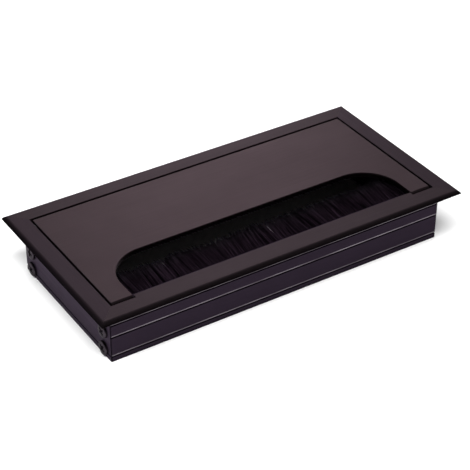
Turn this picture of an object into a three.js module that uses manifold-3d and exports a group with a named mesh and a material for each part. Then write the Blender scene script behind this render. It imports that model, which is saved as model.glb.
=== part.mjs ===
// A drop-in cable grommet for a desk: a mitred aluminium frame with a hinged lid,
// and a brush behind the lid's cut-out that closes round the cables.
// Millimetres. The origin is on the underside, below the middle of the frame:
// +X runs to the right, +Y to the hinge side and +Z up.
import * as THREE from "three";
import { mergeVertices } from "three/addons/utils/BufferGeometryUtils.js";
import Module from "manifold-3d";

// Frame, outside.
const LENGTH = 160;
const DEPTH = 80;
const HEIGHT = 23.5;

// Rail section. "In" is the distance inwards from the flange's outer edge.
const FLANGE_WIDTH = 8;
const FLANGE_THICKNESS = 1.5;
const FLANGE_RADIUS = 1.2;
const LIP_CHAMFER = 0.25;
const WALL_OUTER = 6.25;
const WALL_INNER = 7.75;
const GROOVE_WIDTH = 0.6;
const GROOVE_DEPTH = 0.3;
const UPPER_GROOVE_Z = 16;
const MIDDLE_GROOVE_Z = 10.75;
const LOWER_GROOVE_Z = 2.25;
const MITRE_GAP = 0.06;
const FLANGE_UNDER = HEIGHT - FLANGE_THICKNESS;

// Front rail: a nose between the lid's arms, and two hooked ribs that hold the brush.
const NOSE_HALF_LENGTH = 62;
const NOSE_IN = 9.7;
const RIB_IN = 13.3;
const RIB_THICKNESS = 0.9;
const HOOK_WIDTH = 0.4;
const HOOK_HEIGHT = 0.4;
const BRUSH_SLOT_Z = 17.8;
const BRUSH_SLOT_HEIGHT = 4;

// End rails: a ledge under the lid's sides, and a thicker wall where the screws sit.
const LEDGE_IN = 9.7;
const LEDGE_TOP = 21.2;
const LEDGE_THICKNESS = 1;
const SCREW_PAD_IN = 8.65;
const SCREW_PAD_TOP = 15;
const LEDGE_END_Y = 25.6;
const MILLING_DEPTH_UNDER_FLANGE = 0.3;

// Corner screws, and the open tubes in the long rails that they bite into.
const SCREW_Y = 28.4;
const UPPER_SCREW_Z = 11;
const LOWER_SCREW_Z = 3.3;
const HEAD_RADIUS = 2.85;
const HEAD_HEIGHT = 0.9;
const HEAD_EDGE = 0.35;
const HEAD_GAP = 0.05;
const SHANK_RADIUS = 1.25;
const SHANK_HOLE_RADIUS = 1.6;
const SHANK_LENGTH = 17;
const CROSS_LENGTH = 3.1;
const CROSS_WIDTH = 0.85;
const CROSS_DEPTH = 0.65;
const PORT_INNER_RADIUS = 1.35;
const PORT_OUTER_RADIUS = 2.4;
const PORT_MOUTH = 1.1;
const PORT_WEB = 1.4;

// Lid: a plate with a tube under its rear edge, flush with the frame when closed.
const LID_GAP = 0.8;
const LID_THICKNESS = 2;
const LID_FRONT_BEVEL = 0.9;
const LID_REAR_BEVEL = 0.5;
const SLOT_HALF_LENGTH = 62.35;
const SLOT_REAR_Y = -6.45;
const SLOT_CORNER_RADIUS = 15.75;
const HINGE_Y = 28.3;
const HINGE_Z = 20.8;
const HINGE_TUBE_RADIUS = 1.9;
const HINGE_BORE_RADIUS = 1.5;
const LID_HALF_LENGTH = LENGTH / 2 - FLANGE_WIDTH - LID_GAP;
const LID_HALF_DEPTH = DEPTH / 2 - FLANGE_WIDTH - LID_GAP;

// Hinge pins and their bushes.
const PIN_RADIUS = 1;
const PIN_HOLE_CLEARANCE = 0.05;
const PIN_INNER_X = 65;
const PIN_RECESS = 0.15;
const PIN_OUTER_X = LENGTH / 2 - WALL_OUTER - PIN_RECESS;
const BUSH_BORE_RADIUS = 1.06;
const BUSH_RADIUS = 1.42;
const BUSH_FLANGE_RADIUS = 1.85;
const BUSH_FLANGE = 0.5;
const BUSH_LENGTH = 4.5;
const BUSH_GAP = 0.05;

// Strip brush: a folded channel that clamps the bristles round a core wire.
const BRUSH_HALF_LENGTH = 71;
const BRISTLE_HALF_LENGTH = 69.8;
const CHANNEL_HEIGHT = 3.9;
const CHANNEL_BACK_Y = -32.15;
const CHANNEL_MOUTH_Y = -27.2;
const CHANNEL_SHEET = 0.5;
const WIRE_RADIUS = 0.6;
const WIRE_Y = -30.2;
const WIRE_CLEARANCE = 0.05;
const BRISTLE_FOLD_RADIUS = 1.35;
const BRISTLE_TIP_Y = -11.2;
const BRISTLE_TIP_Z = 19.3;
const BRISTLE_NECK = 2;
const BRISTLE_SPREAD = 3;

// Rubber stops under the lid's two arms.
const STOP_X = 66;
const STOP_Y = -29.2;
const STOP_RADIUS = 1.8;
const STOP_HEIGHT = 0.65;
const STOP_GAP = 0.03;

// Tools cut past what they cut by this margin, and vertices this close are one.
const TOOL_MARGIN = 1;
const MERGE_DISTANCE = 1e-4;

// Steps round a turned circle, in the arc of a small edge and round a wire; a quarter turn.
const ROUND_SEGMENTS = 24;
const EDGE_SEGMENTS = 8;
const WIRE_SEGMENTS = 16;
const QUARTER = Math.PI / 2;

const wasm = await Module();
wasm.setup();

const satinBlack = { metalness: 0.6, roughness: 0.5 };
const frameFinish = new THREE.MeshStandardMaterial({ color: 0x40373d, ...satinBlack });
const lidFinish = new THREE.MeshStandardMaterial({ color: 0x4c4146, ...satinBlack });
const screwFinish = new THREE.MeshStandardMaterial({ color: 0x4a4348, metalness: 0.8, roughness: 0.4 });
const steelFinish = new THREE.MeshStandardMaterial({ color: 0x8a8c8e, metalness: 0.9, roughness: 0.4 });
const nylonFinish = new THREE.MeshStandardMaterial({ color: 0x18161a, metalness: 0, roughness: 0.6 });
const rubberFinish = new THREE.MeshStandardMaterial({ color: 0x141414, metalness: 0, roughness: 0.85 });

// A closed three.js geometry as a solid that can be joined and cut.
function solid(geometry) {
  const bare = geometry.clone();
  bare.deleteAttribute("normal");
  bare.deleteAttribute("uv");
  const merged = mergeVertices(bare, MERGE_DISTANCE);
  return new wasm.Manifold(
    new wasm.Mesh({
      numProp: 3,
      vertProperties: merged.attributes.position.array,
      triVerts: merged.index.array,
    }),
  );
}

// A named mesh from a solid, or from a three.js geometry as it is.
function piece(name, shape, finish) {
  if (shape.isBufferGeometry) {
    const mesh = new THREE.Mesh(shape, finish);
    mesh.name = name;
    return mesh;
  }
  const { vertProperties, triVerts } = shape.getMesh();
  const geometry = new THREE.BufferGeometry();
  geometry.setAttribute("position", new THREE.BufferAttribute(vertProperties, 3));
  geometry.setIndex(new THREE.BufferAttribute(triVerts, 1));
  geometry.computeVertexNormals();
  return piece(name, geometry, finish);
}

function box(low, high) {
  const size = high.map((value, i) => value - low[i]);
  const geometry = new THREE.BoxGeometry(...size);
  return geometry.translate(...low.map((value, i) => value + size[i] / 2));
}

// A section drawn in Y and Z, extruded along X and centred on it.
function extrudeAlongX(section, length, curveSegments = ROUND_SEGMENTS) {
  const options = { depth: length, bevelEnabled: false, curveSegments };
  const geometry = new THREE.ExtrudeGeometry(section, options);
  const axes = new THREE.Matrix4().makeBasis(
    new THREE.Vector3(0, 1, 0),
    new THREE.Vector3(0, 0, 1),
    new THREE.Vector3(1, 0, 0),
  );
  return geometry.applyMatrix4(axes).translate(-length / 2, 0, 0);
}

// An outline drawn in X and Y, extruded upwards between two heights.
function extrudeUp(outline, low, high, curveSegments = ROUND_SEGMENTS) {
  const options = { depth: high - low, bevelEnabled: false, curveSegments };
  return new THREE.ExtrudeGeometry(outline, options).translate(0, 0, low);
}

// A turned shape about Y, from (radius, height) points.
function turned(points) {
  const profile = points.map(([radius, along]) => new THREE.Vector2(radius, along));
  return new THREE.LatheGeometry(profile, ROUND_SEGMENTS);
}

function cylinder(radius, length, segments = ROUND_SEGMENTS) {
  return new THREE.CylinderGeometry(radius, radius, length, segments);
}

function polygon(points) {
  return new THREE.Shape(points.map(([x, y]) => new THREE.Vector2(x, y)));
}

// The section that every rail shares: the rounded flange on top, the wall, the grooves
// along the wall's outside, and whatever stands on the wall's inside, from the top down.
function railSection(flangeIn, insidePoints, grooveHeights) {
  const section = new THREE.Shape();
  section.moveTo(LIP_CHAMFER, FLANGE_UNDER);
  section.lineTo(0, FLANGE_UNDER + LIP_CHAMFER);
  section.absarc(FLANGE_RADIUS, HEIGHT - FLANGE_RADIUS, FLANGE_RADIUS, Math.PI, Math.PI / 2, true);
  section.lineTo(flangeIn, HEIGHT);
  section.lineTo(flangeIn, FLANGE_UNDER);
  section.lineTo(WALL_INNER, FLANGE_UNDER);
  for (const [inwards, z] of insidePoints) section.lineTo(inwards, z);
  section.lineTo(WALL_OUTER, 0);
  for (const z of grooveHeights) {
    section.lineTo(WALL_OUTER, z - GROOVE_WIDTH / 2);
    section.lineTo(WALL_OUTER + GROOVE_DEPTH, z);
    section.lineTo(WALL_OUTER, z + GROOVE_WIDTH / 2);
  }
  section.lineTo(WALL_OUTER, FLANGE_UNDER);
  section.closePath();
  return section;
}

// Both ends of a rail are cut at 45 degrees, where it meets its neighbours.
function mitred(rail, length) {
  const near = length / 2 + TOOL_MARGIN - MITRE_GAP * Math.SQRT2;
  const inside = DEPTH / 4;
  const far = near - TOOL_MARGIN - inside;
  const plan = polygon([
    [-near, -TOOL_MARGIN],
    [near, -TOOL_MARGIN],
    [far, inside],
    [-far, inside],
  ]);
  return rail.intersect(solid(extrudeUp(plan, -TOOL_MARGIN, HEIGHT + TOOL_MARGIN)));
}

// An open tube along the inside of a long rail's wall, at one screw's height.
function screwPort(z, length) {
  const centre = DEPTH / 2 - SCREW_Y;
  const ring = new THREE.Shape();
  const mouth = Math.asin(PORT_MOUTH / 2 / PORT_OUTER_RADIUS);
  const innerMouth = Math.asin(PORT_MOUTH / 2 / PORT_INNER_RADIUS);
  ring.absarc(centre, z, PORT_OUTER_RADIUS, mouth, 2 * Math.PI - mouth, false);
  ring.absarc(centre, z, PORT_INNER_RADIUS, 2 * Math.PI - innerMouth, innerMouth, true);
  ring.closePath();
  const web = box(
    [-length / 2, (WALL_OUTER + WALL_INNER) / 2, z - PORT_WEB / 2],
    [length / 2, centre - (PORT_INNER_RADIUS + PORT_OUTER_RADIUS) / 2, z + PORT_WEB / 2],
  );
  return solid(extrudeAlongX(ring, length)).add(solid(web));
}

function longRail(flangeIn, insidePoints) {
  const grooves = [LOWER_GROOVE_Z, MIDDLE_GROOVE_Z, UPPER_GROOVE_Z];
  const section = railSection(flangeIn, insidePoints, grooves);
  const rail = solid(extrudeAlongX(section, LENGTH, EDGE_SEGMENTS))
    .add(screwPort(UPPER_SCREW_Z, LENGTH))
    .add(screwPort(LOWER_SCREW_Z, LENGTH));
  return mitred(rail, LENGTH);
}

function rearRail() {
  return longRail(FLANGE_WIDTH, [[WALL_INNER, 0]]);
}

function frontRail() {
  const slotTop = BRUSH_SLOT_Z + BRUSH_SLOT_HEIGHT / 2;
  const slotBottom = BRUSH_SLOT_Z - BRUSH_SLOT_HEIGHT / 2;
  const hookIn = RIB_IN - HOOK_WIDTH;
  const rail = longRail(NOSE_IN, [
    [WALL_INNER, slotTop + RIB_THICKNESS],
    [RIB_IN, slotTop + RIB_THICKNESS],
    [RIB_IN, slotTop - HOOK_HEIGHT],
    [hookIn, slotTop - HOOK_HEIGHT],
    [hookIn, slotTop],
    [WALL_INNER, slotTop],
    [WALL_INNER, slotBottom],
    [hookIn, slotBottom],
    [hookIn, slotBottom + HOOK_HEIGHT],
    [RIB_IN, slotBottom + HOOK_HEIGHT],
    [RIB_IN, slotBottom - RIB_THICKNESS],
    [WALL_INNER, slotBottom - RIB_THICKNESS],
    [WALL_INNER, 0],
  ]);
  // The nose stops short of the lid's arms at both ends.
  const notch = (side) => {
    const xs = [side * NOSE_HALF_LENGTH, (side * LENGTH) / 2];
    return solid(
      box(
        [Math.min(...xs), FLANGE_WIDTH, FLANGE_UNDER - LID_GAP],
        [Math.max(...xs), NOSE_IN + TOOL_MARGIN, HEIGHT + TOOL_MARGIN],
      ),
    );
  };
  return rail.subtract(notch(-1)).subtract(notch(1));
}

// hingeEnd is the sign of the rail's own X at which the hinge pin sits.
function endRail(hingeEnd) {
  const section = railSection(
    FLANGE_WIDTH,
    [
      [WALL_INNER, LEDGE_TOP],
      [LEDGE_IN, LEDGE_TOP],
      [LEDGE_IN, LEDGE_TOP - LEDGE_THICKNESS],
      [WALL_INNER, LEDGE_TOP - LEDGE_THICKNESS],
      [WALL_INNER, SCREW_PAD_TOP],
      [SCREW_PAD_IN, SCREW_PAD_TOP],
      [SCREW_PAD_IN, 0],
    ],
    [LOWER_GROOVE_Z],
  );
  let rail = mitred(solid(extrudeAlongX(section, DEPTH, EDGE_SEGMENTS)), DEPTH);
  for (const x of [-SCREW_Y, SCREW_Y])
    for (const z of [LOWER_SCREW_Z, UPPER_SCREW_Z]) {
      const screwHole = cylinder(SHANK_HOLE_RADIUS, 2 * SCREW_PAD_IN).translate(x, SCREW_PAD_IN, z);
      rail = rail.subtract(solid(screwHole));
    }
  // The ledge is milled away round the hinge.
  const ledgeEnds = [hingeEnd * LEDGE_END_Y, (hingeEnd * DEPTH) / 2];
  const clearing = box(
    [Math.min(...ledgeEnds), WALL_INNER, SCREW_PAD_TOP + TOOL_MARGIN],
    [Math.max(...ledgeEnds), LEDGE_IN + TOOL_MARGIN, FLANGE_UNDER - MILLING_DEPTH_UNDER_FLANGE],
  );
  const wall = WALL_INNER - WALL_OUTER;
  const pinHole = cylinder(PIN_RADIUS + PIN_HOLE_CLEARANCE, wall + 2 * TOOL_MARGIN);
  pinHole.translate(hingeEnd * HINGE_Y, (WALL_OUTER + WALL_INNER) / 2, HINGE_Z);
  return rail.subtract(solid(clearing)).subtract(solid(pinHole));
}

// The plate's side view, with the hinge tube under its rear edge, cut to the plate's plan,
// which has the cable cut-out in its front edge.
function lid() {
  const under = HEIGHT - LID_THICKNESS;
  const tubeHalf = Math.sqrt(HINGE_TUBE_RADIUS ** 2 - (under - HINGE_Z) ** 2);
  const tubeAngle = Math.atan2(under - HINGE_Z, tubeHalf);
  const side = new THREE.Shape();
  side.moveTo(-LID_HALF_DEPTH, under);
  side.lineTo(-LID_HALF_DEPTH, HEIGHT - LID_FRONT_BEVEL);
  side.lineTo(-LID_HALF_DEPTH + LID_FRONT_BEVEL, HEIGHT);
  side.lineTo(LID_HALF_DEPTH - LID_REAR_BEVEL, HEIGHT);
  side.lineTo(LID_HALF_DEPTH, HEIGHT - LID_REAR_BEVEL);
  side.lineTo(LID_HALF_DEPTH, under);
  side.absarc(HINGE_Y, HINGE_Z, HINGE_TUBE_RADIUS, tubeAngle, -Math.PI - tubeAngle, true);
  side.closePath();
  const bore = new THREE.Path();
  bore.absarc(HINGE_Y, HINGE_Z, HINGE_BORE_RADIUS, 0, 2 * Math.PI, false);
  side.holes.push(bore);

  const x = LID_HALF_LENGTH;
  const y = LID_HALF_DEPTH + TOOL_MARGIN;
  const slotX = SLOT_HALF_LENGTH;
  const arcX = SLOT_HALF_LENGTH - SLOT_CORNER_RADIUS;
  const arcY = SLOT_REAR_Y - SLOT_CORNER_RADIUS;
  const plan = new THREE.Shape();
  plan.moveTo(-x, -y);
  plan.lineTo(-slotX, -y);
  plan.lineTo(-slotX, arcY);
  plan.absarc(-arcX, arcY, SLOT_CORNER_RADIUS, Math.PI, Math.PI / 2, true);
  plan.absarc(arcX, arcY, SLOT_CORNER_RADIUS, Math.PI / 2, 0, true);
  plan.lineTo(slotX, -y);
  plan.lineTo(x, -y);
  plan.lineTo(x, y);
  plan.lineTo(-x, y);
  plan.closePath();

  const belowTube = HINGE_Z - HINGE_TUBE_RADIUS - TOOL_MARGIN;
  const bar = solid(extrudeAlongX(side, LENGTH));
  return bar.intersect(solid(extrudeUp(plan, belowTube, HEIGHT + TOOL_MARGIN)));
}

// A low pan-head screw with a cross recess. Its head faces up its own Y axis.
function cornerScrew() {
  const tip = -HEAD_HEIGHT - SHANK_LENGTH;
  const body = turned([
    [0, tip],
    [SHANK_RADIUS, tip + SHANK_RADIUS],
    [SHANK_RADIUS, -HEAD_HEIGHT],
    [HEAD_RADIUS, -HEAD_HEIGHT],
    [HEAD_RADIUS, -HEAD_EDGE],
    [HEAD_RADIUS - HEAD_EDGE, 0],
    [0, 0],
  ]);
  const reach = CROSS_LENGTH / 2;
  const half = CROSS_WIDTH / 2;
  const along = box([-reach, -CROSS_DEPTH, -half], [reach, TOOL_MARGIN, half]);
  const across = box([-half, -CROSS_DEPTH, -reach], [half, TOOL_MARGIN, reach]);
  return solid(body).subtract(solid(along)).subtract(solid(across));
}

function hingePin() {
  return cylinder(PIN_RADIUS, PIN_OUTER_X - PIN_INNER_X);
}

// A flanged bush whose sleeve runs down its own Y axis from the flange.
function hingeBush() {
  return turned([
    [BUSH_BORE_RADIUS, -BUSH_LENGTH],
    [BUSH_RADIUS, -BUSH_LENGTH],
    [BUSH_RADIUS, 0],
    [BUSH_FLANGE_RADIUS, 0],
    [BUSH_FLANGE_RADIUS, BUSH_FLANGE],
    [BUSH_BORE_RADIUS, BUSH_FLANGE],
    [BUSH_BORE_RADIUS, -BUSH_LENGTH],
  ]);
}

function brushChannel() {
  const low = BRUSH_SLOT_Z - CHANNEL_HEIGHT / 2;
  const high = BRUSH_SLOT_Z + CHANNEL_HEIGHT / 2;
  const section = polygon([
    [CHANNEL_BACK_Y, low],
    [CHANNEL_MOUTH_Y, low],
    [CHANNEL_MOUTH_Y, low + CHANNEL_SHEET],
    [CHANNEL_BACK_Y + CHANNEL_SHEET, low + CHANNEL_SHEET],
    [CHANNEL_BACK_Y + CHANNEL_SHEET, high - CHANNEL_SHEET],
    [CHANNEL_MOUTH_Y, high - CHANNEL_SHEET],
    [CHANNEL_MOUTH_Y, high],
    [CHANNEL_BACK_Y, high],
  ]);
  return extrudeAlongX(section, 2 * BRUSH_HALF_LENGTH);
}

function coreWire() {
  return cylinder(WIRE_RADIUS, 2 * BRUSH_HALF_LENGTH, WIRE_SEGMENTS).rotateZ(QUARTER);
}

// The bristles are folded round the wire, leave the channel side by side and
// spread towards their tips, which lean up a little.
function bristles() {
  const foldAngle = Math.asin(BRISTLE_NECK / 2 / BRISTLE_FOLD_RADIUS);
  const section = new THREE.Shape();
  section.absarc(WIRE_Y, BRUSH_SLOT_Z, BRISTLE_FOLD_RADIUS, foldAngle, 2 * Math.PI - foldAngle, false);
  section.lineTo(CHANNEL_MOUTH_Y, BRUSH_SLOT_Z - BRISTLE_NECK / 2);
  section.lineTo(BRISTLE_TIP_Y, BRISTLE_TIP_Z - BRISTLE_SPREAD / 2);
  section.lineTo(BRISTLE_TIP_Y, BRISTLE_TIP_Z + BRISTLE_SPREAD / 2);
  section.lineTo(CHANNEL_MOUTH_Y, BRUSH_SLOT_Z + BRISTLE_NECK / 2);
  section.closePath();
  const wirePath = new THREE.Path();
  wirePath.absarc(WIRE_Y, BRUSH_SLOT_Z, WIRE_RADIUS + WIRE_CLEARANCE, 0, 2 * Math.PI, false);
  section.holes.push(wirePath);
  return extrudeAlongX(section, 2 * BRISTLE_HALF_LENGTH, WIRE_SEGMENTS);
}

function lidStop() {
  return cylinder(STOP_RADIUS, STOP_HEIGHT).rotateX(QUARTER);
}

function placed(mesh, x, y, z, turnX = 0, turnY = 0, turnZ = 0) {
  mesh.position.set(x, y, z);
  mesh.rotation.set(turnX, turnY, turnZ);
  return mesh;
}

const grommet = new THREE.Group();

const frame = new THREE.Group();
frame.add(placed(piece("front_rail", frontRail(), frameFinish), 0, -DEPTH / 2, 0));
frame.add(placed(piece("rear_rail", rearRail(), frameFinish), 0, DEPTH / 2, 0, 0, 0, Math.PI));
frame.add(placed(piece("left_rail", endRail(-1), frameFinish), -LENGTH / 2, 0, 0, 0, 0, -QUARTER));
frame.add(placed(piece("right_rail", endRail(1), frameFinish), LENGTH / 2, 0, 0, 0, 0, QUARTER));
grommet.add(frame);

const hinge = new THREE.Group();
hinge.add(piece("lid", lid(), lidFinish));
grommet.add(hinge);

for (const [sideName, side] of [["left", -1], ["right", 1]]) {
  const headX = side * (LENGTH / 2 - WALL_OUTER + HEAD_GAP + HEAD_HEIGHT);
  for (const [endName, y] of [["front", -SCREW_Y], ["rear", SCREW_Y]])
    for (const [levelName, z] of [["upper", UPPER_SCREW_Z], ["lower", LOWER_SCREW_Z]]) {
      const screw = piece(`corner_screw_${sideName}_${endName}_${levelName}`, cornerScrew(), screwFinish);
      frame.add(placed(screw, headX, y, z, 0, 0, -side * QUARTER));
    }

  const pin = piece(`hinge_pin_${sideName}`, hingePin(), steelFinish);
  frame.add(placed(pin, (side * (PIN_INNER_X + PIN_OUTER_X)) / 2, HINGE_Y, HINGE_Z, 0, 0, QUARTER));

  const bush = piece(`hinge_bush_${sideName}`, hingeBush(), nylonFinish);
  hinge.add(placed(bush, side * (LID_HALF_LENGTH + BUSH_GAP), HINGE_Y, HINGE_Z, 0, 0, -side * QUARTER));

  const stop = piece(`lid_stop_${sideName}`, lidStop(), rubberFinish);
  const ribTop = BRUSH_SLOT_Z + BRUSH_SLOT_HEIGHT / 2 + RIB_THICKNESS;
  frame.add(placed(stop, side * STOP_X, STOP_Y, ribTop + STOP_GAP + STOP_HEIGHT / 2));
}

const brush = new THREE.Group();
brush.add(piece("brush_channel", brushChannel(), steelFinish));
brush.add(placed(piece("brush_core_wire", coreWire(), steelFinish), 0, WIRE_Y, BRUSH_SLOT_Z));
brush.add(piece("brush_bristles", bristles(), nylonFinish));
frame.add(brush);

export default grommet;
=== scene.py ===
"""The looks of a desk cable grommet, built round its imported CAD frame. Metres, +Z up."""

import math
import random

import bmesh
import bpy
from mathutils import Matrix, Vector


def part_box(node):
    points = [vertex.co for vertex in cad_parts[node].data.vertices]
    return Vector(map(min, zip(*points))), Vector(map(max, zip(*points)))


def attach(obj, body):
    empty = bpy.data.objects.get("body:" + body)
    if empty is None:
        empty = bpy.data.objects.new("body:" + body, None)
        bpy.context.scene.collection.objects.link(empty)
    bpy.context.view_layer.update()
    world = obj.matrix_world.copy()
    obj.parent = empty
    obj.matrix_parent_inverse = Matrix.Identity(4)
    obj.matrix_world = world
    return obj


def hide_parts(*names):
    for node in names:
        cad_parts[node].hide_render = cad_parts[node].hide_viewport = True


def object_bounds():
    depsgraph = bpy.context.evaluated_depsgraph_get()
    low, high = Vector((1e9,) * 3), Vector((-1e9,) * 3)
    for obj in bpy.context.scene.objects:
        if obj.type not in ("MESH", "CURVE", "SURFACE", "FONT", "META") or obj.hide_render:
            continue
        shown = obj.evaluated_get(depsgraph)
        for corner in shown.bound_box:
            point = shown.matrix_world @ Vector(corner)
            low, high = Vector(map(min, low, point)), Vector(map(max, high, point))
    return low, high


MM = 0.001

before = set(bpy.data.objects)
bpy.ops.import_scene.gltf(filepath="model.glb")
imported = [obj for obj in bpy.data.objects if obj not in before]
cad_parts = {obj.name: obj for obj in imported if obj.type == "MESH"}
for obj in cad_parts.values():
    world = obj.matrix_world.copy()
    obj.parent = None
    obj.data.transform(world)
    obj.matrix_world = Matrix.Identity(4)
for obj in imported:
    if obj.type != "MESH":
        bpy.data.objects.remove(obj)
cad_low, cad_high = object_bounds()

# ---------------------------------------------------------------- sizes

LENGTH = cad_high.x - cad_low.x
DEPTH = cad_high.y - cad_low.y
TOP = cad_high.z

# Rail section. "In" is the distance inwards from the flange's outer edge.
# The flange's edge rises from EDGE_Z at a slope in degrees, and rounds off into the top.
FLANGE_IN = 8 * MM
FLANGE_THICKNESS = 1.5 * MM
FLANGE_UNDER = TOP - FLANGE_THICKNESS
FLANGE_SLOPE = 60
FLANGE_ROUND_IN = 1.9 * MM
FLANGE_STEPS = 10
LIP = 0.04 * MM
EDGE_Z = FLANGE_UNDER + 2 * LIP
WALL_OUTER = 6.25 * MM
WALL_INNER = 7.75 * MM
GROOVE_HALF = 0.3 * MM
GROOVE_DEPTH = 0.3 * MM
GROOVE_FLOOR = 0.1 * MM
GROOVE_LIP = 0.16 * MM
UPPER_GROOVE_Z = 16 * MM
MIDDLE_GROOVE_Z = 10.75 * MM
LOWER_GROOVE_Z = 2.25 * MM
LONG_RAIL_GROOVES = (LOWER_GROOVE_Z, MIDDLE_GROOVE_Z, UPPER_GROOVE_Z)
MITRE_GAP = 0.01 * MM
EDGE_BEVEL = 0.1 * MM

# The upright corners are rounded, and have a fine slit where two rails meet.
CORNER_RADIUS = 0.3 * MM
CORNER_STEPS = 8
CORNER_CLEAR = 0.004 * MM
SLIT_HALF = 0.12 * MM
SLIT_OUTSIDE = 0.5 * MM
SLIT_INSIDE = 0.6 * MM
SLIT = [
    (-SLIT_HALF, -SLIT_OUTSIDE),
    (SLIT_HALF, -SLIT_OUTSIDE),
    (SLIT_HALF, SLIT_INSIDE),
    (-SLIT_HALF, SLIT_INSIDE),
]

NOSE_HALF_LENGTH = 62 * MM
NOSE_IN = 9.7 * MM
RIB_IN = 13.3 * MM
RIB_THICKNESS = 0.9 * MM
RIB_CLEAR = 0.05 * MM
HOOK = 0.4 * MM

LEDGE_IN = 9.7 * MM
LEDGE_TOP = 21.2 * MM
LEDGE_THICKNESS = 1 * MM
LEDGE_END_Y = 25.6 * MM
PAD_IN = 8.65 * MM
PAD_TOP = 15 * MM

screw_low, screw_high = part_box("corner_screw_right_rear_lower")
SCREW_Y = (screw_low.y + screw_high.y) / 2
LOWER_SCREW_Z = (screw_low.z + screw_high.z) / 2
UPPER_SCREW_Z = sum(corner.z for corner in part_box("corner_screw_right_rear_upper")) / 2
HEAD_RADIUS = (screw_high.y - screw_low.y) / 2
SCREW_LENGTH = screw_high.x - screw_low.x
HEAD_X = screw_high.x
HEAD_HEIGHT = 0.9 * MM
HEAD_EDGE = 0.35 * MM
HEAD_DOME = 0.1 * MM
HEAD_SHOULDER = 0.06 * MM
HEAD_ARC_END = 80
HEAD_STEPS = 6
NECK = 0.4 * MM
SHANK_RADIUS = 1.25 * MM
SHANK_HOLE_RADIUS = 1.6 * MM
SHANK_HOLE_REACH = 4 * MM
THREAD_PITCH = 1.1 * MM
THREAD_HEIGHT = 0.3 * MM
THREAD_ROWS = 6
THREAD_SEGMENTS = 20
POINT_LENGTH = 1.5 * SHANK_RADIUS
POINT_BLUNT = 0.12

# Each bar of the cross recess, at the head's top and at its foot.
CROSS_MOUTH_HALF = 1.75 * MM
CROSS_FOOT_HALF = 0.8 * MM
CROSS_MOUTH_WIDTH = 1 * MM
CROSS_FOOT_WIDTH = 0.6 * MM
CROSS_DEPTH = 0.95 * MM
CROSS_RISE = 0.3 * MM

# Ports: the open tubes in the long rails that the corner screws are driven into.
PORT_INNER = 1.35 * MM
PORT_OUTER = 2.4 * MM
PORT_MOUTH = 1.1 * MM
PORT_WEB = 1.4 * MM
PORT_OUTER_STEPS = 14
PORT_INNER_STEPS = 26

lid_low, lid_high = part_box("lid")
LID_THICKNESS = 2 * MM
LID_UNDER = TOP - LID_THICKNESS
LID_FRONT_BEVEL = 0.9 * MM
LID_REAR_BEVEL = 0.5 * MM
LID_BEVEL = 0.18 * MM
SLOT_HALF_LENGTH = 62.35 * MM
SLOT_REAR_Y = -6.45 * MM
SLOT_RADIUS = 15.75 * MM
SLOT_STEPS = 28
pin_low, pin_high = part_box("hinge_pin_right")
HINGE_Y = (pin_low.y + pin_high.y) / 2
HINGE_Z = (pin_low.z + pin_high.z) / 2
HINGE_TUBE = 1.9 * MM
HINGE_BORE = 1.5 * MM
PIN_CLEAR = 0.05 * MM
PIN_HOLE_REACH = 2 * MM
ROUND_EDGE_STEPS = 5

channel_low, channel_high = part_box("brush_channel")
wire_low, wire_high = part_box("brush_core_wire")
bristle_low, bristle_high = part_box("brush_bristles")
SLOT_Z = (channel_low.z + channel_high.z) / 2

BRISTLES = 7600
BRISTLE_GROUPS = 8
BRISTLE_SIDES = 4
BRISTLE_RINGS = 6
BRISTLE_RADIUS = 0.12 * MM

# How far the tips lean, lift and reach together, over a region and over a clump.
REGION_WIDTH = 6 * MM
REGION_AMOUNTS = (1.9 * MM, 0.35 * MM, 0.45 * MM)
CLUMP_WIDTH = 0.6 * MM
CLUMP_AMOUNTS = (0.35 * MM, 0.3 * MM, 0.3 * MM)

# Where the colour changes: a painted highlight on the lip above each groove, and painted shade in
# the slit of each corner joint.
HIGHLIGHT_WIDTH = 0.48 * MM
HIGHLIGHT_LOW = (0.06, 0.05, 0.06)
HIGHLIGHT_HIGH = (0.2, 0.18, 0.2)
JOINT_DARK = 0.34 * MM
TURN_BLEND = 0.3 * MM
EDGE_BLEND_TOP = TOP - 0.1 * MM

# Nearly all of a noise texture's values lie between these.
NOISE_LOW = 0.3
NOISE_HIGH = 0.7


# ---------------------------------------------------------------- mesh helpers


def arc(centre, radius, start, end, steps):
    """Points on an arc between two angles in degrees, both ends included."""
    points = []
    for i in range(steps + 1):
        angle = math.radians(start + (end - start) * i / steps)
        points.append((centre[0] + radius * math.cos(angle), centre[1] + radius * math.sin(angle)))
    return points


def new_object(name, mesh_data):
    made = bpy.data.objects.new(name, mesh_data)
    bpy.context.scene.collection.objects.link(made)
    return made


def from_bmesh(name, bm):
    """A mesh object from a bmesh, with its normals facing out."""
    bmesh.ops.recalc_face_normals(bm, faces=bm.faces)
    data = bpy.data.meshes.new(name)
    bm.to_mesh(data)
    bm.free()
    return new_object(name, data)


def bake_modifiers(piece):
    """Turns what the modifiers make into the piece's own mesh."""
    bpy.context.view_layer.update()
    evaluated = piece.evaluated_get(bpy.context.evaluated_depsgraph_get())
    data = bpy.data.meshes.new_from_object(evaluated)
    piece.modifiers.clear()
    piece.data = data
    data.name = piece.name


def bevel_edges(piece, width, segments, angle):
    bevel = piece.modifiers.new("bevel", "BEVEL")
    bevel.width = width
    bevel.segments = segments
    bevel.limit_method = "ANGLE"
    bevel.angle_limit = math.radians(angle)
    bevel.miter_outer = "MITER_ARC"
    bake_modifiers(piece)


def cut(piece, tool, operation="DIFFERENCE"):
    boolean = piece.modifiers.new("cut", "BOOLEAN")
    boolean.operation = operation
    boolean.solver = "EXACT"
    boolean.object = tool
    bake_modifiers(piece)
    bpy.data.objects.remove(tool)


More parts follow.
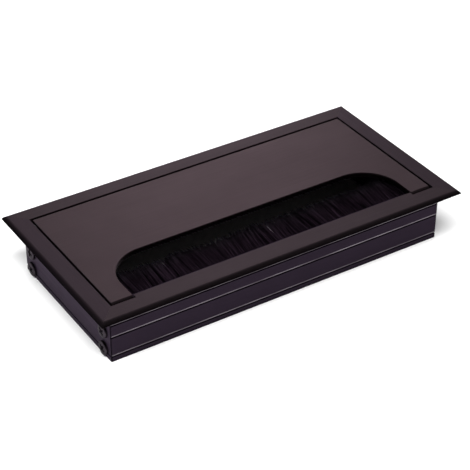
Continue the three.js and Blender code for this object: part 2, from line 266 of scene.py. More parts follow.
def shade(piece, angle=32):
    """Smooth shading, with sharp edges above an angle, that keeps large faces flat."""
    data = piece.data
    data.polygons.foreach_set("use_smooth", [True] * len(data.polygons))
    data.set_sharp_from_angle(angle=math.radians(angle))
    weighted = piece.modifiers.new("weighted", "WEIGHTED_NORMAL")
    weighted.keep_sharp = True
    bake_modifiers(piece)


def finish_piece(piece, body, nodes, look):
    """Gives the piece its material and body, and hides the CAD nodes that it stands for."""
    piece.data.materials.clear()
    piece.data.materials.append(look)
    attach(piece, body)
    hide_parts(*nodes)


def lathe(name, profile, segments=48):
    """A closed turned shape about Z from (radius, height) points; radius 0 is on the axis."""
    bm = bmesh.new()
    rings = []
    for radius, height in profile:
        if radius == 0:
            rings.append([bm.verts.new((0, 0, height))])
            continue
        ring = []
        for i in range(segments):
            angle = 2 * math.pi * i / segments
            ring.append(bm.verts.new((radius * math.cos(angle), radius * math.sin(angle), height)))
        rings.append(ring)
    pairs = list(zip(rings, rings[1:]))
    if profile[0][0] != 0:
        pairs.append((rings[-1], rings[0]))
    for one, two in pairs:
        for i in range(segments):
            j = (i + 1) % segments
            if len(one) == 1:
                bm.faces.new((one[0], two[i], two[j]))
            elif len(two) == 1:
                bm.faces.new((one[i], one[j], two[0]))
            else:
                bm.faces.new((one[i], one[j], two[j], two[i]))
    return from_bmesh(name, bm)


def prism(name, outline, low, high):
    """An outline in the first two axes, between two heights."""
    bm = bmesh.new()
    bottom = [bm.verts.new((x, y, low)) for x, y in outline]
    top = [bm.verts.new((x, y, high)) for x, y in outline]
    bm.faces.new(bottom[::-1])
    bm.faces.new(top)
    for i in range(len(outline)):
        j = (i + 1) % len(outline)
        bm.faces.new((bottom[i], bottom[j], top[j], top[i]))
    return from_bmesh(name, bm)


def along_x(piece):
    """Turns a piece whose section is in X and Y, and length in Z, to lie along X."""
    turn = Matrix(((0, 0, 1, 0), (1, 0, 0, 0), (0, 1, 0, 0), (0, 0, 0, 1)))
    piece.data.transform(turn)
    return piece


# ---------------------------------------------------------------- materials


class Look:
    """A Principled material whose nodes are added one line at a time."""

    def __init__(self, name, colour, roughness, metallic=0.0, specular=0.5, edge_tint=1.0):
        self.material = bpy.data.materials.new(name)
        self.material.use_nodes = True
        self.tree = self.material.node_tree
        self.shader = self.tree.nodes["Principled BSDF"]
        self.shader.inputs["Base Color"].default_value = (*colour, 1)
        self.shader.inputs["Roughness"].default_value = roughness
        self.shader.inputs["Metallic"].default_value = metallic
        self.shader.inputs["Specular IOR Level"].default_value = specular
        self.shader.inputs["Specular Tint"].default_value = (edge_tint, edge_tint, edge_tint, 1)
        self.place = self.tree.nodes.new("ShaderNodeTexCoord").outputs["Object"]
        self.normal = None

    def link(self, one, two):
        self.tree.links.new(one, two)

    def noise(self, size, stretch=(1, 1, 1), detail=3):
        """Noise with features about size metres across, longer along an axis by its stretch."""
        mapping = self.tree.nodes.new("ShaderNodeMapping")
        mapping.inputs["Scale"].default_value = [1 / (size * s) for s in stretch]
        texture = self.tree.nodes.new("ShaderNodeTexNoise")
        texture.inputs["Scale"].default_value = 1
        texture.inputs["Detail"].default_value = detail
        self.link(self.place, mapping.inputs["Vector"])
        self.link(mapping.outputs["Vector"], texture.inputs["Vector"])
        return texture.outputs["Fac"]

    def axis(self, letter):
        """The place along one of the object's own axes, in metres."""
        axes = self.tree.nodes.new("ShaderNodeSeparateXYZ")
        self.link(self.place, axes.inputs["Vector"])
        return axes.outputs[letter]

    def height(self, low, high):
        """0 below one Z and 1 above another, with a ramp between them."""
        return self.mapped(self.axis("Z"), low, high, 0, 1)

    def mapped(self, factor, first, last, low, high):
        """Maps a factor from first..last to low..high."""
        node = self.tree.nodes.new("ShaderNodeMapRange")
        node.inputs["From Min"].default_value = first
        node.inputs["From Max"].default_value = last
        node.inputs["To Min"].default_value = low
        node.inputs["To Max"].default_value = high
        self.link(factor, node.inputs["Value"])
        return node.outputs["Result"]

    def between(self, factor, low, high, socket):
        """Maps noise to low..high and feeds it to one of the shader's sockets."""
        level = self.mapped(factor, NOISE_LOW, NOISE_HIGH, low, high)
        self.link(level, self.shader.inputs[socket])

    def ramp(self, factor, low, high, first=NOISE_LOW, last=NOISE_HIGH):
        """A colour that goes from one to another while the factor goes from first to last."""
        node = self.tree.nodes.new("ShaderNodeValToRGB")
        node.color_ramp.elements[0].position = first
        node.color_ramp.elements[0].color = (*low, 1)
        node.color_ramp.elements[1].position = last
        node.color_ramp.elements[1].color = (*high, 1)
        self.link(factor, node.inputs["Fac"])
        return node.outputs["Color"]

    def times(self, one, two):
        """Two colours multiplied."""
        node = self.tree.nodes.new("ShaderNodeMix")
        node.data_type = "RGBA"
        node.blend_type = "MULTIPLY"
        node.inputs["Factor"].default_value = 1
        self.link(one, node.inputs["A"])
        self.link(two, node.inputs["B"])
        return node.outputs["Result"]

    def math(self, operation, one, two, third=None):
        """One arithmetic step on up to three values, each a number or a socket."""
        node = self.tree.nodes.new("ShaderNodeMath")
        node.operation = operation
        for socket, value in zip(node.inputs, (one, two, third)):
            if isinstance(value, (int, float)):
                socket.default_value = value
            elif value is not None:
                self.link(value, socket)
        return node.outputs["Value"]

    def bands(self, heights):
        """1 on the outside of a rail's wall, on a narrow band just above each groove."""
        half = HIGHLIGHT_WIDTH / 2
        outside = self.math("LESS_THAN", self.axis("Y"), WALL_INNER)
        total = None
        for z in heights:
            band = self.math("COMPARE", self.axis("Z"), z + GROOVE_HALF + half, half)
            total = band if total is None else self.math("ADD", total, band)
        return self.math("MULTIPLY", total, outside)

    def over(self, below, factor, above):
        """One colour where the factor is 0, and the other laid over it where the factor is 1."""
        node = self.tree.nodes.new("ShaderNodeMix")
        node.data_type = "RGBA"
        self.link(factor, node.inputs["Factor"])
        self.link(below, node.inputs["A"])
        self.link(above, node.inputs["B"])
        return node.outputs["Result"]

    def colour(self, socket):
        self.link(socket, self.shader.inputs["Base Color"])

    def bump(self, factor, depth, strength):
        """Adds a bump of that depth in metres on top of those before it."""
        node = self.tree.nodes.new("ShaderNodeBump")
        node.inputs["Strength"].default_value = strength
        node.inputs["Distance"].default_value = depth
        self.link(factor, node.inputs["Height"])
        if self.normal is not None:
            self.link(self.normal, node.inputs["Normal"])
        self.normal = node.outputs["Normal"]
        self.link(self.normal, self.shader.inputs["Normal"])


def tinted(colour, factor):
    return tuple(channel * factor for channel in colour)


def grey(level):
    return (level, level, level)


def anodised(name, top, wall, turn=FLANGE_UNDER, highlight_grooves=(), edge=1.0, joint=0.0):
    """Bead-blasted aluminium with a brown-black dye: fine grain, and faint lines along the
    extrusion.
    The colour changes from the wall's to the top's at the height turn; this is painted light, each
    surface made lighter or darker as the light falls on it. A painted highlight lies on the lip
    above each groove whose height is passed in. Painted shade darkens the flange's rounded edge
    towards its foot, when edge is below 1, and the joint at each end of the wall, when joint says
    how far out that is."""
    roughness = 0.42
    look = Look(name, top, roughness, metallic=0.95, specular=0.1, edge_tint=0.5)
    cloud = look.noise(9 * MM, detail=4)
    lines = look.noise(0.35 * MM, stretch=(160, 1, 1), detail=2)
    grain = look.noise(0.16 * MM, detail=2)
    # Painted light: the walls and the tops get their own colours, lighter or darker as the light
    # falls on them.
    dye_and_painted_light = look.ramp(look.height(turn - TURN_BLEND, turn), wall, top, 0, 1)
    dye_and_painted_light = look.times(dye_and_painted_light, look.ramp(cloud, grey(0.93), grey(1.0)))
    # Painted shade: the flange's rounded edge gets darker down towards its foot.
    if edge < 1:
        below = look.math("LESS_THAN", look.axis("Z"), EDGE_Z - LIP)
        level = look.math("MAXIMUM", look.height(EDGE_Z, EDGE_BLEND_TOP), below)
        dye_and_painted_light = look.times(dye_and_painted_light, look.ramp(level, grey(edge), grey(1.0), 0, 1))
    # Painted highlight: a lighter band on the lip just above each groove, standing for its glint.
    if highlight_grooves:
        highlight_noise = look.noise(14 * MM)
        dye_and_painted_light = look.over(dye_and_painted_light, look.bands(highlight_grooves), look.ramp(highlight_noise, HIGHLIGHT_LOW, HIGHLIGHT_HIGH))
    # Painted shade: near-black wall colour beside the slit at each end of the wall, for the shade
    # in the seam.
    if joint:
        along = look.math("ABSOLUTE", look.axis("X"), None)
        end = look.math("GREATER_THAN", along, joint - JOINT_DARK)
        seam = look.math("MULTIPLY", end, look.math("LESS_THAN", look.axis("Z"), FLANGE_UNDER))
        dye_and_painted_light = look.over(dye_and_painted_light, seam, look.ramp(cloud, tinted(wall, 0.1), tinted(wall, 0.3)))
    look.colour(dye_and_painted_light)
    look.between(lines, roughness - 0.05, roughness + 0.05, "Roughness")
    look.bump(lines, 0.003 * MM, 0.35)
    look.bump(grain, 0.006 * MM, 0.5)
    return look.material


def plated_steel(name, colour, roughness, specular=0.5, edge_tint=1.0):
    """Bright or blackened steel, with drawing marks and a little unevenness."""
    look = Look(name, colour, roughness, 0.95, specular, edge_tint)
    marks = look.noise(0.12 * MM, stretch=(1, 1, 12))
    cloud = look.noise(1.5 * MM)
    look.colour(look.ramp(cloud, tinted(colour, 0.8), tinted(colour, 1.15)))
    look.between(marks, roughness - 0.08, roughness + 0.12, "Roughness")
    look.bump(marks, 0.004 * MM, 0.5)
    return look.material


def nylon(name, colour, roughness):
    """Moulded nylon: a slight mottle and a soft orange-peel skin."""
    look = Look(name, colour, roughness, specular=0.4)
    cloud = look.noise(1.2 * MM)
    skin = look.noise(0.25 * MM, detail=2)
    look.colour(look.ramp(cloud, tinted(colour, 0.85), tinted(colour, 1.15)))
    look.between(skin, roughness - 0.06, roughness + 0.06, "Roughness")
    look.bump(skin, 0.006 * MM, 0.5)
    return look.material


def bristle_nylon(name, dark, light, tip):
    """Each bristle has its own shade between dark and light, clumps of them are darker, and
    towards the tips the light shade goes over into the one called tip."""
    look = Look(name, dark, 0.6, specular=0)
    fade_start = bristle_high.y - 8 * MM
    fade_end = bristle_high.y - 2 * MM
    own = look.tree.nodes.new("ShaderNodeNewGeometry").outputs["Random Per Island"]
    clump = look.mapped(look.noise(0.5 * MM, stretch=(1, 14, 6), detail=2), 0.35, 0.65, 0.4, 1)
    mixed = look.math("MULTIPLY", look.math("POWER", own, 2), clump)
    end = look.mapped(look.axis("Y"), fade_start, fade_end, 0, 0.8)
    shades = [look.ramp(mixed, dark, lightest, 0.02, 0.7) for lightest in (light, tip)]
    look.colour(look.over(shades[0], end, shades[1]))
    look.between(own, 0.55, 0.75, "Roughness")
    return look.material


# ---------------------------------------------------------------- rails


def rail_outline(inside):
    """The closed section of a rail, as (in, z). inside runs down the wall's inner face."""
    knee = (TOP - EDGE_Z) / math.tan(math.radians(FLANGE_SLOPE))
    outline = [(LIP, FLANGE_UNDER)]
    for step in range(FLANGE_STEPS + 1):
        share = step / FLANGE_STEPS
        inwards = 2 * share * (1 - share) * knee + share**2 * FLANGE_ROUND_IN
        outline.append((inwards, EDGE_Z + (1 - (1 - share) ** 2) * (TOP - EDGE_Z)))
    outline += [(FLANGE_IN, TOP), (FLANGE_IN, FLANGE_UNDER), (WALL_INNER, FLANGE_UNDER)]
    return outline + inside


def grooved_wall(heights):
    """The wall's outer face from the bottom up, with a groove at each height whose upper lip
    is eased off."""
    points = [(WALL_OUTER, 0)]
    for z in heights:
        points.append((WALL_OUTER, z - GROOVE_HALF))
        points.append((WALL_OUTER + GROOVE_DEPTH, z - GROOVE_FLOOR))
        points.append((WALL_OUTER + GROOVE_DEPTH, z))
        points.append((WALL_OUTER + GROOVE_LIP, z + GROOVE_LIP))
        points.append((WALL_OUTER, z + GROOVE_HALF + GROOVE_LIP))
    return points + [(WALL_OUTER, FLANGE_UNDER)]


def port(z):
    """An open screw tube on the wall's inner face, from its web's top round to the web's foot."""
    centre = (DEPTH / 2 - SCREW_Y, z)
    web = math.degrees(math.asin(PORT_WEB / 2 / PORT_OUTER))
    mouth = math.degrees(math.asin(PORT_MOUTH / 2 / PORT_OUTER))
    inner_mouth = math.degrees(math.asin(PORT_MOUTH / 2 / PORT_INNER))
    points = [(WALL_INNER, z + PORT_WEB / 2)]
    points += arc(centre, PORT_OUTER, 180 - web, mouth, PORT_OUTER_STEPS)
    points += arc(centre, PORT_INNER, inner_mouth, 360 - inner_mouth, PORT_INNER_STEPS)
    points += arc(centre, PORT_OUTER, -mouth, web - 180, PORT_OUTER_STEPS)
    return points + [(WALL_INNER, z - PORT_WEB / 2)]


def swept_rail(name, outline, length, after=None, extra=(), start=None, end=None):
    """The outline swept along X and cut at 45 degrees at both ends. The extra points stand
    between outline points after and after + 1, only from start to end, or to a mitred end."""

    def mitre_x(side, inwards):
        return side * (length / 2 - inwards - MITRE_GAP)

    stations = [None] + [x for x in (start, end) if x is not None] + [None]
    bm = bmesh.new()

    def ring(index, points):
        x = stations[index]
        side = -1 if index == 0 else 1
        return [bm.verts.new((mitre_x(side, u) if x is None else x, u, z)) for u, z in points]

    rings = [ring(i, outline) for i in range(len(stations))]
    first_span = 0 if start is None else 1
    last_span = len(stations) - 2 if end is None else stations.index(end) - 1
    extras = {}
    if extra:
        for i in (first_span, last_span + 1):
            extras[i] = ring(i, extra)
    count = len(outline)
    for span in range(len(stations) - 1):
        raised = bool(extra) and first_span <= span <= last_span
        for i in range(count):
            j = (i + 1) % count
            if raised and i == after:
                continue
            bm.faces.new((rings[span][i], rings[span + 1][i], rings[span + 1][j], rings[span][j]))
        if raised:
            one = [rings[span][after], *extras[span], rings[span][after + 1]]
            two = [rings[span + 1][after], *extras[span + 1], rings[span + 1][after + 1]]
            for k in range(len(one) - 1):
                bm.faces.new((one[k], two[k], two[k + 1], one[k + 1]))
    for index in (0, len(stations) - 1):
        loop = list(rings[index])
        if index in extras:
            loop[after + 1 : after + 1] = extras[index]
        bm.faces.new(loop)
    for index in set(extras) - {0, len(stations) - 1}:
        bm.faces.new([rings[index][after], *extras[index], rings[index][after + 1]])
    return from_bmesh(name, bm)


def place(piece, x=0, y=0, z=0, turn=0):
    """Moves a piece to a place, turned about Z by that many degrees."""
    turned = Matrix.Rotation(math.radians(turn), 4, "Z")
    piece.matrix_world = Matrix.Translation((x, y, z)) @ turned


def lying_along_x(centre, side=1):
    """The placing that lays a piece made along Z along X, towards that side."""
    return Matrix.Translation(centre) @ Matrix.Rotation(side * math.radians(90), 4, "Y")


def long_rail_inside(ribs):
    """The rest of a long rail's section, from under the flange round to the wall's outside."""
    ports = port(UPPER_SCREW_Z) + port(LOWER_SCREW_Z)
    return ribs + ports + [(WALL_INNER, 0)] + grooved_wall(LONG_RAIL_GROOVES)


def ease_edges(piece, length):
    """Bevels a rail's long corners, rounds its two upright corners, and cuts half of the joint's
    slit into each."""
    bm = bmesh.new()
    bm.from_mesh(piece.data)
    least_angle = math.radians(60)
    along_share = 0.9

    def long_corner(edge):
        """Whether an edge is a convex corner along the rail, and isn't on the flange's lip."""
        one, two = (vertex.co for vertex in edge.verts)
        along = abs(one.x - two.x) > along_share * (one - two).length and one.y > 2 * LIP
        return along and edge.is_convex and edge.calc_face_angle(0) > least_angle

    edges = [edge for edge in bm.edges if long_corner(edge)]
    bmesh.ops.bevel(bm, geom=edges, offset=EDGE_BEVEL, segments=2, profile=0.5, affect="EDGES")
    bm.to_mesh(piece.data)
    bm.free()
    outside = 0.1 * MM
    corner_top = FLANGE_UNDER - 0.02 * MM
    slit_top = FLANGE_UNDER - 0.03 * MM
    for side in (-1, 1):
        corner = (side * (length / 2 - WALL_OUTER), WALL_OUTER)
        centre = (corner[0] - side * CORNER_RADIUS, corner[1] + CORNER_RADIUS)
        sweep = side * 90
        points = arc(centre, CORNER_RADIUS + CORNER_CLEAR, 270, 270 + sweep, CORNER_STEPS)
        points += [
            (corner[0] + side * outside, centre[1]),
            (corner[0] + side * outside, corner[1] - outside),
            (centre[0], corner[1] - outside),
        ]
        cut(piece, prism("corner", points, -MM, corner_top))
        slit = Matrix.Translation((*corner, 0)) @ Matrix.Rotation(math.radians(side * 45), 4, "Z")
        tool = prism("slit", SLIT, -MM, slit_top)
        tool.data.transform(slit)
        cut(piece, tool)
    bm = bmesh.new()
    bm.from_mesh(piece.data)
    bmesh.ops.holes_fill(bm, edges=bm.edges, sides=3)
    bm.to_mesh(piece.data)
    bm.free()


def brush_ribs():
    """Two hooked ribs, above and below the brush channel."""
    upper = channel_high.z + RIB_CLEAR
    lower = channel_low.z - RIB_CLEAR
    return [
        (WALL_INNER, upper + RIB_THICKNESS),
        (RIB_IN, upper + RIB_THICKNESS),
        (RIB_IN, upper - HOOK),
        (RIB_IN - HOOK, upper - HOOK),
        (RIB_IN - HOOK, upper),
        (WALL_INNER, upper),
        (WALL_INNER, lower),
        (RIB_IN - HOOK, lower),
        (RIB_IN - HOOK, lower + HOOK),
        (RIB_IN, lower + HOOK),
        (RIB_IN, lower - RIB_THICKNESS),
        (WALL_INNER, lower - RIB_THICKNESS),
    ]


def front_rail(look):
    """The long rail with the ribs that hold the brush, and the nose between the lid's arms."""
    outline = rail_outline(long_rail_inside(brush_ribs()))
    corner = outline.index((FLANGE_IN, TOP))
    nose = [(NOSE_IN, TOP), (NOSE_IN, FLANGE_UNDER)]
    piece = swept_rail(
        "front_rail_extrusion", outline, LENGTH, corner, nose, -NOSE_HALF_LENGTH, NOSE_HALF_LENGTH
    )
    ease_edges(piece, LENGTH)
    place(piece, y=-DEPTH / 2)
    shade(piece)
    finish_piece(piece, "frame", ["front_rail"], look)


def rear_rail(look):
    """The plain long rail, turned to face the other way."""
    piece = swept_rail("rear_rail_extrusion", rail_outline(long_rail_inside([])), LENGTH)
    ease_edges(piece, LENGTH)
    place(piece, y=DEPTH / 2, turn=180)
    shade(piece)
    finish_piece(piece, "frame", ["rear_rail"], look)


def round_hole(name, radius, reach):
    """A cutter for a round hole along Z, that reaches as far up as down."""
    return lathe(name, [(0, reach), (radius, reach), (radius, -reach), (0, -reach)], segments=32)


def end_rail(side, look):
    """The rail on the left, where side is -1, or on the right, where it is 1, with the ledge
    under the lid and the holes for the screws and the hinge pin."""
    name = "left_rail" if side < 0 else "right_rail"
    inside = [
        (WALL_INNER, LEDGE_TOP),
        (WALL_INNER, LEDGE_TOP - LEDGE_THICKNESS),
        (WALL_INNER, PAD_TOP),
        (PAD_IN, PAD_TOP),
        (PAD_IN, 0),
    ]
    outline = rail_outline(inside + grooved_wall([LOWER_GROOVE_Z]))
    after = outline.index((WALL_INNER, LEDGE_TOP))
    ledge = [(LEDGE_IN, LEDGE_TOP), (LEDGE_IN, LEDGE_TOP - LEDGE_THICKNESS)]
    reach = {"end": LEDGE_END_Y} if side > 0 else {"start": -LEDGE_END_Y}
    piece = swept_rail(name + "_extrusion", outline, DEPTH, after, ledge, **reach)
    ease_edges(piece, DEPTH)
    across = Matrix.Rotation(math.radians(90), 4, "X")
    for x in (-SCREW_Y, SCREW_Y):
        for z in (LOWER_SCREW_Z, UPPER_SCREW_Z):
            tool = round_hole("screw_hole", SHANK_HOLE_RADIUS, SHANK_HOLE_REACH)
            tool.matrix_world = Matrix.Translation((x, WALL_OUTER, z)) @ across
            cut(piece, tool)
    pin_radius = (pin_high.z - pin_low.z) / 2
    tool = round_hole("pin_hole", pin_radius + PIN_CLEAR, PIN_HOLE_REACH)
    middle = (WALL_OUTER + WALL_INNER) / 2
    tool.matrix_world = Matrix.Translation((side * HINGE_Y, middle, HINGE_Z)) @ across
    cut(piece, tool)
    shade(piece)
    place(piece, x=side * LENGTH / 2, turn=side * 90)
    finish_piece(piece, "frame", [name], look)


# ---------------------------------------------------------------- lid


def lid_plan():
    """The lid's outline from above: a plate with a round-cornered cut-out in its front edge."""
    arc_x = SLOT_HALF_LENGTH - SLOT_RADIUS
    arc_y = SLOT_REAR_Y - SLOT_RADIUS
    points = [(lid_low.x, lid_low.y), (-SLOT_HALF_LENGTH, lid_low.y)]
    points += arc((-arc_x, arc_y), SLOT_RADIUS, 180, 90, SLOT_STEPS)
    points += arc((arc_x, arc_y), SLOT_RADIUS, 90, 0, SLOT_STEPS)
    points += [(SLOT_HALF_LENGTH, lid_low.y), (lid_high.x, lid_low.y)]
    return points + [(lid_high.x, lid_high.y), (lid_low.x, lid_high.y)]


def bevel_top_edges(piece, y, width, segments):
    """Bevels the plate's top edges that lie along X at a given Y."""
    bm = bmesh.new()
    bm.from_mesh(piece.data)
    near = 0.01 * MM
    edges = [
        edge
        for edge in bm.edges
        if all(abs(v.co.y - y) < near and abs(v.co.z - TOP) < near for v in edge.verts)
    ]
    bmesh.ops.bevel(bm, geom=edges, offset=width, segments=segments, profile=0.5, affect="EDGES")
    bm.to_mesh(piece.data)
    bm.free()


def lid(look):
    """The plate with its bevels, and the hinge tube under its rear edge."""
    piece = prism("lid_plate", lid_plan(), LID_UNDER, TOP)
    bevel_top_edges(piece, lid_low.y, LID_FRONT_BEVEL, 1)
    bevel_top_edges(piece, lid_high.y, LID_REAR_BEVEL, 3)
    bevel_edges(piece, LID_BEVEL, 3, 40)
    tube = lathe(
        "hinge_tube",
        [
            (HINGE_BORE, lid_low.x),
            (HINGE_TUBE, lid_low.x),
            (HINGE_TUBE, lid_high.x),
            (HINGE_BORE, lid_high.x),
        ],
    )
    bore = lathe(
        "bore",
        [
            (0, lid_low.x - MM),
            (HINGE_BORE, lid_low.x - MM),
            (HINGE_BORE, lid_high.x + MM),
            (0, lid_high.x + MM),
        ],
    )
    for turned in (tube, bore):
        turned.data.transform(lying_along_x((0, HINGE_Y, HINGE_Z)))
    cut(piece, tube, "UNION")
    cut(piece, bore)
    shade(piece)
    finish_piece(piece, "lid", ["lid"], look)


# ---------------------------------------------------------------- hinge, stops and screws


def hinge_pin(side, look):
    """A plain pin with chamfered ends."""
    name = "hinge_pin_left" if side < 0 else "hinge_pin_right"
    low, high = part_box(name)
    radius = (high.z - low.z) / 2
    half = (high.x - low.x) / 2
    chamfer = 0.2 * MM
    profile = [
        (0, -half),
        (radius - chamfer, -half),
        (radius, -half + chamfer),
        (radius, half - chamfer),
        (radius - chamfer, half),
        (0, half),
    ]
    piece = lathe(name + "_turned", profile, segments=32)
    shade(piece)
    piece.matrix_world = lying_along_x((low + high) / 2)
    finish_piece(piece, "frame", [name], look)


def hinge_bush(side, look):
    """A flanged bush, its sleeve in the hinge tube and its flange outside."""
    name = "hinge_bush_left" if side < 0 else "hinge_bush_right"
    low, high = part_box(name)
    flange = (high.z - low.z) / 2
    length = high.x - low.x
    bore = 1.06 * MM
    sleeve = 1.42 * MM
    thick = 0.5 * MM
    edge = 0.08 * MM
    profile = [
        (bore + edge, 0),
        (sleeve - edge, 0),
        (sleeve, edge),
        (sleeve, length - thick),
        (flange - edge, length - thick),
        (flange, length - thick + edge),
        (flange, length - edge),
        (flange - edge, length),
        (bore + edge, length),
        (bore, length - edge),
        (bore, edge),
    ]
    piece = lathe(name + "_moulded", profile, segments=40)
    shade(piece)
    start = low.x if side > 0 else high.x
    piece.matrix_world = lying_along_x((start, HINGE_Y, HINGE_Z), side)
    finish_piece(piece, "lid", [name], look)


def lid_stop(side, look):
    """A round pad with a rounded rim and a slightly hollow top."""
    name = "lid_stop_left" if side < 0 else "lid_stop_right"
    low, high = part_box(name)
    radius = (high.x - low.x) / 2
    height = high.z - low.z
    edge = 0.25 * MM
    foot = 0.05 * MM
    halfway_hollow = 0.02 * MM
    hollow = 0.06 * MM
    profile = [(0, 0), (radius - foot, 0), (radius, foot)]
    profile += arc((radius - edge, height - edge), edge, 0, 90, ROUND_EDGE_STEPS)
    profile += [(radius / 2, height - halfway_hollow), (0, height - hollow)]
    piece = lathe(name + "_pad", profile, segments=40)
    shade(piece)
    place(piece, (low.x + high.x) / 2, (low.y + high.y) / 2, low.z)
    finish_piece(piece, "frame", [name], look)


def threaded_shank(name, top, bottom):
    """A cut thread round Z, as a grid whose radius follows a helix, with a pointed end."""
    bm = bmesh.new()
    rows = round((top - bottom) / THREAD_PITCH * THREAD_ROWS)
    grid = []
    for row in range(rows + 1):
        z = top + (bottom - top) * row / rows
        taper = min(1.0, (z - bottom) / POINT_LENGTH + POINT_BLUNT)
        ring = []
        for i in range(THREAD_SEGMENTS):
            turn = i / THREAD_SEGMENTS
            phase = (z / THREAD_PITCH - turn) % 1.0
            # A ridge over the middle half of the pitch, that dies away under the head.
            crest = max(0.0, 1 - abs(phase - 0.5) * 4)
            run_out = min(1.0, (top - z) / THREAD_PITCH)
            radius = (SHANK_RADIUS - THREAD_HEIGHT * (1 - crest * run_out)) * taper
            angle = 2 * math.pi * turn
            ring.append(bm.verts.new((radius * math.cos(angle), radius * math.sin(angle), z)))
        grid.append(ring)
    for one, two in zip(grid, grid[1:]):
        for i in range(THREAD_SEGMENTS):
            j = (i + 1) % THREAD_SEGMENTS
            bm.faces.new((one[i], two[i], two[j], one[j]))
    bm.faces.new(grid[0][::-1])
    bm.faces.new(grid[-1])
    return from_bmesh(name, bm)


def cross_cutter(turn):
    """One bar of the cross recess, narrowing towards its foot, with its mouth at z = 0."""
    bm = bmesh.new()

    def rectangle(half, width, z):
        corners = [(-half, -width), (half, -width), (half, width), (-half, width)]
        return [bm.verts.new((x, y, z)) for x, y in corners]

    grow = CROSS_RISE / CROSS_DEPTH
    over_half = CROSS_MOUTH_HALF + (CROSS_MOUTH_HALF - CROSS_FOOT_HALF) * grow
    over_width = CROSS_MOUTH_WIDTH + (CROSS_MOUTH_WIDTH - CROSS_FOOT_WIDTH) * grow
    top = rectangle(over_half, over_width / 2, CROSS_RISE)
    foot = rectangle(CROSS_FOOT_HALF, CROSS_FOOT_WIDTH / 2, -CROSS_DEPTH)
    bm.faces.new(top)
    bm.faces.new(foot[::-1])
    for i in range(4):
        j = (i + 1) % 4
        bm.faces.new((foot[i], foot[j], top[j], top[i]))
    tool = from_bmesh("cross_bar", bm)
    tool.matrix_world = Matrix.Rotation(math.radians(turn), 4, "Z")
    return tool


def screw_mesh():
    """A low pan-head self-tapping screw with a cross recess, its head's top at the origin."""
    profile = [
        (0, -HEAD_HEIGHT - NECK),
        (SHANK_RADIUS, -HEAD_HEIGHT - NECK),
        (SHANK_RADIUS, -HEAD_HEIGHT),
        (HEAD_RADIUS - HEAD_SHOULDER, -HEAD_HEIGHT),
        (HEAD_RADIUS, -HEAD_HEIGHT + HEAD_SHOULDER),
    ]
    rim = (HEAD_RADIUS - HEAD_EDGE, -HEAD_DOME - HEAD_EDGE)
    profile += arc(rim, HEAD_EDGE, 0, HEAD_ARC_END, HEAD_STEPS)
    for share in (0.8, 0.6, 0.4, 0.2, 0):
        profile.append((rim[0] * share, -HEAD_DOME * share**2))
    piece = lathe("screw", profile, segments=56)
    for turn in (0, 90):
        cut(piece, cross_cutter(turn))
    cut(piece, threaded_shank("thread", -HEAD_HEIGHT - NECK / 2, -SCREW_LENGTH), "UNION")
    shade(piece, angle=30)
    data = piece.data
    bpy.data.objects.remove(piece)
    return data


def corner_screws(look):
    """Eight screws, each driven to its own angle."""
    data = screw_mesh()
    generator = random.Random(11)
    for side_name, side in (("left", -1), ("right", 1)):
        for end_name, y in (("front", -SCREW_Y), ("rear", SCREW_Y)):
            for level, z in (("upper", UPPER_SCREW_Z), ("lower", LOWER_SCREW_Z)):
                node = f"corner_screw_{side_name}_{end_name}_{level}"
                piece = new_object(node + "_turned", data.copy())
                piece.data.transform(Matrix.Rotation(generator.uniform(0, math.pi / 2), 4, "Z"))
                piece.matrix_world = lying_along_x((side * HEAD_X, y, z), side)
                finish_piece(piece, "frame", [node], look)


# ---------------------------------------------------------------- brush


def brush_channel(look):
    """Folded steel strip: a U with rounded outer bends, open towards the hinge side."""
    sheet = 0.5 * MM
    bend = 0.45 * MM
    back, mouth = channel_low.y, channel_high.y
    low, high = channel_low.z, channel_high.z
    outline = [(mouth, low), (mouth, low + sheet)]
    outline += [(back + sheet, low + sheet), (back + sheet, high - sheet)]
    outline += [(mouth, high - sheet), (mouth, high)]
    outline += arc((back + bend, high - bend), bend, 90, 180, ROUND_EDGE_STEPS)
    outline += arc((back + bend, low + bend), bend, 180, 270, ROUND_EDGE_STEPS)
    piece = along_x(prism("brush_channel_strip", outline, channel_low.x, channel_high.x))
    bevel_edges(piece, 0.05 * MM, 1, 50)
    shade(piece)
    finish_piece(piece, "frame", ["brush_channel"], look)


def core_wire(look):
    """The wire that holds the bristles in the channel."""
    radius = (wire_high.z - wire_low.z) / 2
    half = (wire_high.x - wire_low.x) / 2
    edge = 0.12 * MM
    profile = [
        (0, -half),
        (radius - edge, -half),
        (radius, -half + edge),
        (radius, half - edge),
        (radius - edge, half),
        (0, half),
    ]
    piece = lathe("brush_core_wire_drawn", profile, segments=24)
    shade(piece)
    piece.matrix_world = lying_along_x((wire_low + wire_high) / 2)
    finish_piece(piece, "frame", ["brush_core_wire"], look)


def uneven(generator, length, step, amounts):
    """A smooth function of place: for each amount, a value from minus to plus that amount."""
    knots = [
        [generator.uniform(-amount, amount) for amount in amounts]
        for _ in range(int(length / step) + 3)
    ]

    def at(distance):
        index = int(distance / step)
        share = distance / step - index
        share = share * share * (3 - 2 * share)
        return [a + (b - a) * share for a, b in zip(knots[index], knots[index + 1])]

    return at


